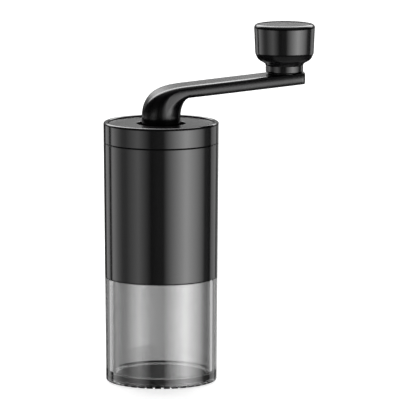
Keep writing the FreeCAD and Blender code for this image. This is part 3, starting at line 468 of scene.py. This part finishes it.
def lid():
    """The lid's rim with its spigot, and the flat disc let into it round the hub."""
    rim_inside = RIM_RADIUS - LID_RIM_WIDTH
    disc_hole = HUB_RADIUS + HUB_CLEARANCE
    plate_hole = disc_hole + DISC_LAP
    disc_low = low("lid_disc")
    disc_top = high("lid_disc")
    plate_low = disc_low - LID_PLATE
    lid_low = high("housing_shell") + SEAM_GAP
    spigot_low = low("lid_ring")
    seal_level = (low("lid_seal") + high("lid_seal")) / 2
    spigot_bore = PLUG_RADIUS - SPIGOT_WALL
    rim = turned("lid_rim", [
        (plate_hole, plate_low, 0.2),
        (spigot_bore, plate_low, 0.5),
        (spigot_bore, spigot_low, 0.2),
        (PLUG_RADIUS, spigot_low, 0.3),
        *seal_groove(PLUG_RADIUS, seal_level),
        (PLUG_RADIUS, lid_low, 0.1),
        (outside(lid_low), lid_low, 0.2),
        (outside(RIM_LEVEL), RIM_LEVEL, 1.05),
        (rim_inside, RIM_LEVEL, 0.65),
        (rim_inside, disc_low, 0),
        (plate_hole, disc_low, 0),
    ], segments=OUTSIDE_SEGMENTS, steps=6)
    place_piece(rim, "lid_ring", "lid")
    disc = turned("lid_top_disc", [
        (disc_hole, disc_low, 0),
        (rim_inside - PRESS_GAP, disc_low, 0),
        (rim_inside - PRESS_GAP, disc_top, 0.2),
        (disc_hole, disc_top, 0.3),
    ], segments=OUTSIDE_SEGMENTS)
    place_piece(disc, "lid_disc", "lid")


# ---------------------------------------------------------------- crank

ARM_WIDTH = 19.2
ARM_THICKNESS = 5.9
ARM_SLOPE = 0.085
ARM_EDGE = 1.0
ARM_CORNER = 2.2
END_EDGE = 0.4
FOOT_EDGE = 0.5
# The bend starts above the lid's rim and ends over BEND_REACH, where the straight arm begins.  Its
# outer and inner lines are Bezier curves with these handles.
BEND_RISE = 1.6
BEND_REACH = 12.0
BEND_TOP = 18.1
OUTER_RISE, OUTER_RUN = 11.0, 14.2
INNER_RISE, INNER_RUN = 4.8, 3.2
# The section turns from the round hub to a rounded rectangle: the power sets how soon, and the
# rectangle's corners shrink to ARM_EDGE over a run-out past the bend.
BEND_SQUARING = 1.9
BEND_CORNER = 1.5
EDGE_RUN_OUT = 14.0
# The arm's sides are crowned, and its top falls off over the outer share of its half width.
SIDE_CROWN = 0.3
TOP_EASE = 0.28
TOP_EASE_SHARE = 0.35
# The largest corner of a section, as a share of its half width and half height.
FULLEST_CORNER = 0.99
# Steps along each arc of a section, and the places of the points along its straight sides.
CORNER_STEPS = 8
SIDE_SHARES = (0.05, 0.1, 0.17, 0.3, 0.5, 0.7, 0.83, 0.9, 0.95)
# Sections along the crank: round its foot's edge, up the hub, over the bend, and along the arm and
# its end.
FOOT_STATIONS = 4
HUB_SHARES = (0.05, 0.35, 0.65)
BEND_STATIONS = 40
ARM_STATIONS = 12
SHAFT_ROOM_RADIUS = 3.8
SHAFT_ROOM_ABOVE = 0.5
AXLE_HOLE_RADIUS = 2.55
SEAT_MARGIN = 0.3
SEAT_DEPTH_BELOW = 15.0
SEAT_DEPTH_ABOVE = 10.0


def eased(share):
    """A share from 0 to 1 that starts and ends gently."""
    return share * share * (3 - 2 * share)


def bezier(points, share):
    """A point on the cubic Bezier curve with the given four points."""
    weights = [(1 - share) ** 3, 3 * share * (1 - share) ** 2, 3 * share ** 2 * (1 - share), share ** 3]
    return sum((point * weight for point, weight in zip(points, weights)), Vector((0, 0, 0)))


def section(top, bottom, width, corner, crown):
    """Points of a rounded rectangle between an upper and a lower guide point, its sides crowned."""
    up = (top - bottom).normalized()
    middle = (top + bottom) / 2
    half_width = width / 2
    half_height = (top - bottom).length / 2
    corner = min(corner, half_width * FULLEST_CORNER, half_height * FULLEST_CORNER)
    points = []
    turns = [(1, 1), (-1, 1), (-1, -1), (1, -1)]
    for index, (side, rise) in enumerate(turns):
        next_side, next_rise = turns[(index + 1) % 4]
        for step in range(CORNER_STEPS + 1):
            turn = math.radians(90 * index + 90 * step / CORNER_STEPS)
            points.append((side * (half_width - corner) + corner * math.cos(turn),
                           rise * (half_height - corner) + corner * math.sin(turn)))
        turn = math.radians(90 * (index + 1))
        end = (next_side * (half_width - corner) + corner * math.cos(turn),
               next_rise * (half_height - corner) + corner * math.sin(turn))
        start = points[-1]
        for share in SIDE_SHARES:
            points.append((start[0] + (end[0] - start[0]) * share,
                           start[1] + (end[1] - start[1]) * share))
    placed = []
    for across, rise in points:
        near_edge = max(abs(across) / half_width - 1 + TOP_EASE_SHARE, 0) / TOP_EASE_SHARE
        rise -= TOP_EASE * near_edge ** 2 * max(rise / half_height, 0) * crown / SIDE_CROWN
        drop = crown * (rise / half_height) ** 2
        across -= math.copysign(drop, across) * (abs(across) / half_width)
        placed.append(middle + Vector((0, across, 0)) + up * rise)
    return placed


def crank_sections():
    """The crank's outline from the hub's foot to the arm's square end."""
    hub = HUB_RADIUS
    foot = low("crank_arm")
    bend_low = RIM_LEVEL + BEND_RISE
    slope = Vector((1, 0, ARM_SLOPE))
    end_top = Vector((BEND_REACH, 0, RIM_LEVEL + BEND_TOP))
    end_bottom = end_top + Vector((ARM_THICKNESS * ARM_SLOPE, 0, -ARM_THICKNESS))
    outer = [Vector((-hub, 0, bend_low)), Vector((-hub, 0, bend_low + OUTER_RISE)),
             end_top - slope * OUTER_RUN, end_top]
    inner = [Vector((hub, 0, bend_low)), Vector((hub, 0, bend_low + INNER_RISE)),
             end_bottom - slope * INNER_RUN, end_bottom]
    sections = []
    for step in range(FOOT_STATIONS + 1):
        turn = math.pi / 2 * step / FOOT_STATIONS
        radius = hub - FOOT_EDGE * (1 - math.sin(turn))
        level = foot + FOOT_EDGE * (1 - math.cos(turn))
        sections.append(section(Vector((-radius, 0, level)), Vector((radius, 0, level)), 2 * radius,
                                radius, 0))
    for share in HUB_SHARES:
        level = foot + FOOT_EDGE + (bend_low - foot - FOOT_EDGE) * share
        sections.append(section(Vector((-hub, 0, level)), Vector((hub, 0, level)), 2 * hub, hub, 0))
    for step in range(BEND_STATIONS + 1):
        share = step / BEND_STATIONS
        width = 2 * hub + (ARM_WIDTH - 2 * hub) * eased(share)
        corner = hub + (BEND_CORNER - hub) * math.sin(math.pi / 2 * share) ** BEND_SQUARING
        sections.append(section(bezier(outer, share), bezier(inner, share), width, corner,
                                SIDE_CROWN * eased(share)))
    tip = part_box("crank_arm")[1].x / MM
    middle = (end_top + end_bottom) / 2
    shares = [step / ARM_STATIONS for step in range(1, ARM_STATIONS + 1)]
    reaches = [BEND_REACH + (tip - ARM_CORNER - BEND_REACH) * share for share in shares]
    reaches += [tip - ARM_CORNER * (1 - math.sin(math.pi / 2 * share)) for share in shares]
    for reach in reaches:
        into_corner = max(reach - (tip - ARM_CORNER), 0)
        narrowing = ARM_CORNER - math.sqrt(max(ARM_CORNER ** 2 - into_corner ** 2, 0))
        into_edge = max(reach - (tip - END_EDGE), 0)
        thinning = END_EDGE - math.sqrt(max(END_EDGE ** 2 - into_edge ** 2, 0))
        share = min((reach - BEND_REACH) / EDGE_RUN_OUT, 1)
        edge = BEND_CORNER + (ARM_EDGE - BEND_CORNER) * eased(share)
        ring = []
        for point in section(end_top, end_bottom, ARM_WIDTH, edge, SIDE_CROWN):
            moved = point.copy()
            moved.y *= 1 - narrowing / (ARM_WIDTH / 2)
            from_middle = (point - middle).z
            moved.z -= from_middle / (ARM_THICKNESS / 2) * thinning
            ring.append(moved + slope * (reach - moved.x))
        sections.append(ring)
    return sections


def crank():
    """The one-piece crank, bored for the shaft's insert and sunk for the knob's neck."""
    sections = crank_sections()
    bm = bmesh.new()
    rings = [[bm.verts.new(point * MM) for point in points] for points in sections]
    for here, onward in zip(rings, rings[1:]):
        for index in range(len(here)):
            following = (index + 1) % len(here)
            bm.faces.new([here[index], here[following], onward[following], onward[index]])
    bm.faces.new(rings[0][::-1])
    bm.faces.new(rings[-1])
    piece = finished("crank", bm)
    foot = low("crank_arm")
    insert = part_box("hub_insert")
    insert_radius = insert[1].x / MM + PRESS_GAP
    insert_top = insert[1].z / MM
    room_top = high("drive_shaft") + SHAFT_ROOM_ABOVE
    room = turned("bore", [
        (0, foot - CUT_PAST, 0),
        (insert_radius, foot - CUT_PAST, 0),
        (insert_radius, insert_top, 0),
        (SHAFT_ROOM_RADIUS, insert_top, 0),
        (SHAFT_ROOM_RADIUS, room_top, 0),
        (0, room_top, 0),
    ], segments=64)
    cut(piece, room)
    seat_level = low("knob_washer")
    seat_radius = NECK_RADIUS + SEAT_MARGIN
    seat = turned("seat", [
        (0, seat_level - SEAT_DEPTH_BELOW, 0),
        (AXLE_HOLE_RADIUS, seat_level - SEAT_DEPTH_BELOW, 0),
        (AXLE_HOLE_RADIUS, seat_level, 0),
        (seat_radius, seat_level, 0),
        (seat_radius, seat_level + SEAT_DEPTH_ABOVE, 0),
        (0, seat_level + SEAT_DEPTH_ABOVE, 0),
    ], segments=96, centre_x=CRANK_RADIUS)
    cut(piece, seat)
    place_piece(piece, "crank_arm", "crank")


# ---------------------------------------------------------------- knob

KNOB_SHOULDER = 3.25
# The knob's outline over its shoulder: radius, height over the shoulder, and rounding.
KNOB_FLARE = [(NECK_RADIUS, 0.9, 1.5), (NECK_RADIUS + 1.5, 1.9, 0.8), (13.2, 3.2, 3.6),
              (14.55, 6.2, 4.0)]
KNOB_RADIUS = 15.2
CAP_RADIUS = 12.9
BUSH_RADIUS = 4.75
BUSH_TOP = 13.3
SCREW_HEAD_RADIUS = 5.4
SCREW_HEAD_GAP = 0.6


def knob():
    """The turned knob, open inside for its bush and screw, with a disc let into its top."""
    bottom = low("knob_body")
    top = high("knob_body")
    shoulder = bottom + KNOB_SHOULDER
    bush_radius = BUSH_RADIUS + PRESS_GAP
    bush_top = bottom + BUSH_TOP
    room = SCREW_HEAD_RADIUS + SCREW_HEAD_GAP
    cap_low = low("knob_cap")
    cap_top = high("knob_cap")
    body = turned("knob", [
        (bush_radius, bottom, 0.2),
        (NECK_RADIUS, bottom, 0.7),
        *((radius, shoulder + height, rounding) for radius, height, rounding in KNOB_FLARE),
        (KNOB_RADIUS, top, 2.0),
        (CAP_RADIUS, top, 0.3),
        (CAP_RADIUS, cap_low, 0),
        (room, cap_low, 0),
        (room, bush_top, 0),
        (bush_radius, bush_top, 0),
    ], segments=192, centre_x=CRANK_RADIUS, steps=8)
    place_piece(body, "knob_body", "knob")
    cap = turned("knob_top_cap", [
        (0, cap_low, 0),
        (CAP_RADIUS - PRESS_GAP, cap_low, 0),
        (CAP_RADIUS - PRESS_GAP, cap_top, 0.3),
        (0, cap_top, 0),
    ], segments=192, centre_x=CRANK_RADIUS)
    place_piece(cap, "knob_cap", "knob")


# ---------------------------------------------------------------- floor, light and camera

# Lengths are metres from here on, except the lens, which is millimetres.  The camera aims at a point
# to the right of the axis and above the floor.
CAMERA_AZIMUTH = math.radians(-15)
CAMERA_ELEVATION = math.radians(8.517)
CAMERA_DISTANCE = 2.161
CAMERA_LENS = 393.5
TARGET_RIGHT = 0.01918
TARGET_LEVEL = 0.08993

FLOOR_RADIUS = 7.0
FLOOR_LEVEL = -0.0003
FLOOR_GREY = 0.5
FLOOR_GLOW = 0.78


def floor():
    """A wide pale floor that fades into the pale surroundings."""
    bm = bmesh.new()
    bmesh.ops.create_circle(bm, cap_ends=True, cap_tris=False, segments=96,
                              radius=FLOOR_RADIUS)
    piece = finished("floor", bm)
    piece.location.z = FLOOR_LEVEL
    made = bpy.data.materials.new("pale_floor")
    made.use_nodes = True
    shader = next(node for node in made.node_tree.nodes if node.type == "BSDF_PRINCIPLED")
    shader.inputs["Base Color"].default_value = (FLOOR_GREY, FLOOR_GREY, FLOOR_GREY, 1)
    shader.inputs["Roughness"].default_value = 0.9
    shader.inputs["Specular IOR Level"].default_value = 0.0
    shader.inputs["Emission Color"].default_value = (1, 1, 1, 1)
    shader.inputs["Emission Strength"].default_value = FLOOR_GLOW
    piece.data.materials.append(made)
    piece.visible_glossy = False
    piece.visible_transmission = False


# Soft light panels round the object, a little below the horizon.  Four directions give where each
# one starts, is full from, is full to and ends, in degrees round Z from the camera's side, positive
# towards the camera's right, and one that runs past 180 either way is full up to the back.  The
# fifth number is its brightness.
LOW_PANELS = {
    "left of the back": (-200, -190, -176, -165, 1.0),
    "left rim": (-150, -143, -129, -127, 1.0),
    "left side": (-121, -117, -109, -75, 2.0),
    "left front": (-85, -47, -47, -20, 2.2),
    "front fill": (-30, -5, 105, 118, 0.2),
    "main, right": (5, 50, 55, 100, 7.3),
    "right rim": (118, 122, 142, 147, 0.95),
    "right of the back": (147, 180, 190, 200, 1.0),
}
BETWEEN_PANELS = 0.03
# A wide light behind the object, on both sides from here on.
BACK_START, BACK_FULL = 125, 135

# How the lights fade with elevation: (degrees above the horizon, level).
LOW_FADE = [(-90, 0.02), (-19, 0.02), (-15.5, 1.0), (-5.5, 1.0), (-3.5, 0.03), (6, 0.03), (12, 0.02),
            (90, 0.02)]
BACK_FADE = [(-90, 0.0), (-2, 0.0), (4, 0.25), (15, 0.28), (19, 3.4), (36, 5.5), (62, 4.5), (76, 0.0),
             (90, 0.0)]
# A weak light from straight above and straight below, the same all round.
FILL_FADE = [(-90, 0.3), (-45, 0.25), (-32, 0.0), (38, 0.0), (60, 0.22), (90, 0.4)]


def math_node(tree, operation, first, second):
    """A sum worked out in the world's nodes, from outputs or plain numbers."""
    node = tree.nodes.new("ShaderNodeMath")
    node.operation = operation
    for socket, value in zip(node.inputs, (first, second)):
        if isinstance(value, (int, float)):
            socket.default_value = value
        else:
            tree.links.new(value, socket)
    return node.outputs[0]


def by_elevation(tree, height, fade):
    """Brightness by elevation, where height is 0 straight down and 1 straight up."""
    peak = max(level for angle, level in fade)
    ramp = tree.nodes.new("ShaderNodeValToRGB")
    elements = ramp.color_ramp.elements
    elements.remove(elements[-1])
    for index, (angle, level) in enumerate(fade):
        stop = (math.sin(math.radians(angle)) + 1) / 2
        element = elements[0] if index == 0 else elements.new(stop)
        element.position = stop
        element.color = (*([level / peak] * 3), 1)
    tree.links.new(height, ramp.inputs["Fac"])
    return math_node(tree, "MULTIPLY", ramp.outputs["Color"], peak)


def slope_between(tree, angle, start, end, first, last):
    """The first level up to the start angle and the last one past the end angle."""
    node = tree.nodes.new("ShaderNodeMapRange")
    node.inputs["From Min"].default_value = start
    node.inputs["From Max"].default_value = end
    node.inputs["To Min"].default_value = first
    node.inputs["To Max"].default_value = last
    tree.links.new(angle, node.inputs["Value"])
    return node.outputs["Result"]


def low_panels(tree, angle):
    """Brightness of all the low panels by the angle round Z."""
    total = BETWEEN_PANELS
    for start, full_from, full_to, end, level in LOW_PANELS.values():
        rise = slope_between(tree, angle, start, full_from, 0, level)
        fall = slope_between(tree, angle, full_to, end, 1, 0)
        total = math_node(tree, "ADD", math_node(tree, "MULTIPLY", rise, fall), total)
    return total


def studio_light():
    """Soft light panels round the object; the camera itself sees plain white."""
    world = bpy.data.worlds.new("studio")
    world.use_nodes = True
    bpy.context.scene.world = world
    tree = world.node_tree
    tree.nodes.clear()
    output = tree.nodes.new("ShaderNodeOutputWorld")
    place = tree.nodes.new("ShaderNodeTexCoord").outputs["Generated"]
    split = tree.nodes.new("ShaderNodeSeparateXYZ")
    tree.links.new(place, split.inputs[0])
    along_x, along_y, along_z = split.outputs
    sine, cosine = math.sin(CAMERA_AZIMUTH), math.cos(CAMERA_AZIMUTH)
    rightward = math_node(tree, "ADD", math_node(tree, "MULTIPLY", along_x, cosine),
                          math_node(tree, "MULTIPLY", along_y, sine))
    nearward = math_node(tree, "SUBTRACT", math_node(tree, "MULTIPLY", along_x, sine),
                         math_node(tree, "MULTIPLY", along_y, cosine))
    turn = math_node(tree, "ARCTAN2", rightward, nearward)
    angle = math_node(tree, "MULTIPLY", turn, 180 / math.pi)
    height = math_node(tree, "ADD", math_node(tree, "MULTIPLY", along_z, 0.5), 0.5)
    low_light = math_node(tree, "MULTIPLY", low_panels(tree, angle),
                          by_elevation(tree, height, LOW_FADE))
    from_front = math_node(tree, "ABSOLUTE", angle, 0)
    behind = slope_between(tree, from_front, BACK_START, BACK_FULL, 0, 1)
    back_light = math_node(tree, "MULTIPLY", behind, by_elevation(tree, height, BACK_FADE))
    panels = math_node(tree, "ADD", low_light, back_light)
    total = math_node(tree, "ADD", panels, by_elevation(tree, height, FILL_FADE))
    soft = tree.nodes.new("ShaderNodeBackground")
    tree.links.new(total, soft.inputs["Color"])
    plain = tree.nodes.new("ShaderNodeBackground")
    plain.inputs["Color"].default_value = (1, 1, 1, 1)
    choose = tree.nodes.new("ShaderNodeMixShader")
    tree.links.new(tree.nodes.new("ShaderNodeLightPath").outputs["Is Camera Ray"], choose.inputs[0])
    tree.links.new(soft.outputs[0], choose.inputs[1])
    tree.links.new(plain.outputs[0], choose.inputs[2])
    tree.links.new(choose.outputs[0], output.inputs["Surface"])


def camera():
    """A long lens from slightly above, to the left of the arm's front."""
    data = bpy.data.cameras.new("camera")
    data.lens = CAMERA_LENS
    data.sensor_width = 36.0
    data.clip_start, data.clip_end = 0.05, 50.0
    piece = bpy.data.objects.new("camera", data)
    bpy.context.scene.collection.objects.link(piece)
    sine, cosine = math.sin(CAMERA_AZIMUTH), math.cos(CAMERA_AZIMUTH)
    level = math.cos(CAMERA_ELEVATION)
    back = Vector((sine * level, -cosine * level, math.sin(CAMERA_ELEVATION)))
    right = Vector((cosine, sine, 0))
    target = right * TARGET_RIGHT + Vector((0, 0, TARGET_LEVEL))
    piece.location = target + back * CAMERA_DISTANCE
    piece.rotation_mode = "QUATERNION"
    piece.rotation_quaternion = (-back).to_track_quat("-Z", "Y")
    bpy.context.scene.camera = piece
    bpy.context.scene.view_settings.view_transform = "Standard"


camera()
studio_light()
floor()
dress_cad_nodes()
clear_cup()
foot_pad()
shell()
lid()
crank()
knob()
